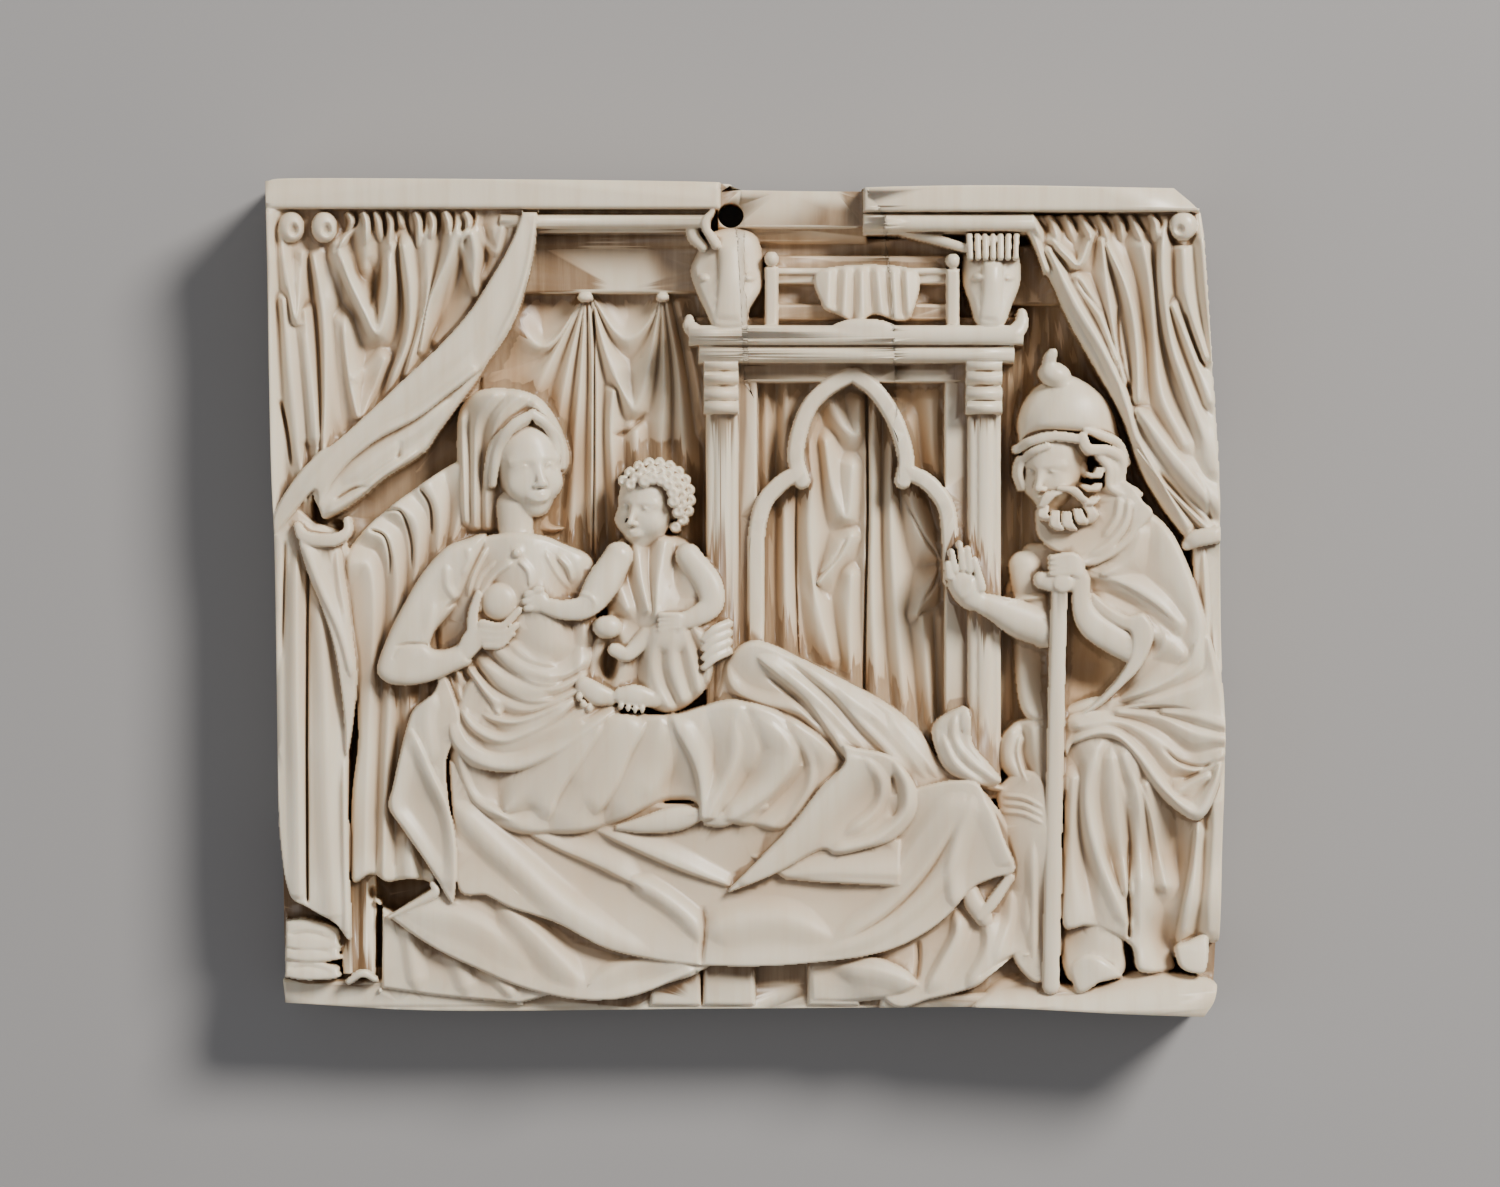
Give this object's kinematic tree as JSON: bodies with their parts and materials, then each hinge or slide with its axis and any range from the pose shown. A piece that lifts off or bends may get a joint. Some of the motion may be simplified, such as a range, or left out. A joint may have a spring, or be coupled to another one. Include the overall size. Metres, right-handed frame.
{
  "type": "carved relief plaque",
  "caption": "Upright rectangular ivory panel carved in deep relief with a reclining woman, a child, an old man with a staff, curtains, an arch and a manger.",
  "frame": {"origin": "centre of the flat back, under the middle of the plaque's outline", "axes": "+Z out of the carved front, +Y towards the plaque's top rail, +X towards the old man: the plaque lies on its back"},
  "size_m": [0.0961, 0.084, 0.0131],
  "materials": {
    "ivory": "polished ivory, cream on the heights and brown in the hollows, with dark age cracks"
  },
  "bodies": {
    "root": {"plaque": "ivory"}
  },
  "joints": []
}
